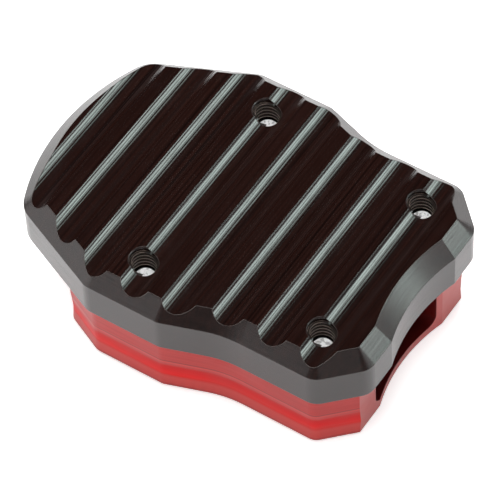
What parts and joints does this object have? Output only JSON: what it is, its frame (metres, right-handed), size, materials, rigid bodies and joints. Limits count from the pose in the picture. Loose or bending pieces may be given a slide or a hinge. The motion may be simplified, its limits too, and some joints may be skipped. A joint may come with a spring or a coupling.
{
  "type": "kickstand foot enlarger",
  "caption": "Kickstand foot enlarger: a waisted sole plate with a ridged ground face, screwed to a clamp plate whose open pocket takes the foot of a side stand.",
  "frame": {"origin": "centre of the overall outline, on the clamp plate's outer face", "axes": "+X towards the recess end, where the pocket opens; +Y to the back of the picture; +Z out of the ridged ground face"},
  "size_m": [0.088, 0.0656, 0.028],
  "materials": {
    "black_anodised": "milled and black anodised, satin, with fine tool lines",
    "red_anodised": "milled and red anodised, satin",
    "stainless_steel": "bright stainless steel"
  },
  "bodies": {
    "root": {"sole_plate": "black_anodised", "clamp_plate": "red_anodised", "clamp_screws": "stainless_steel"}
  },
  "joints": []
}
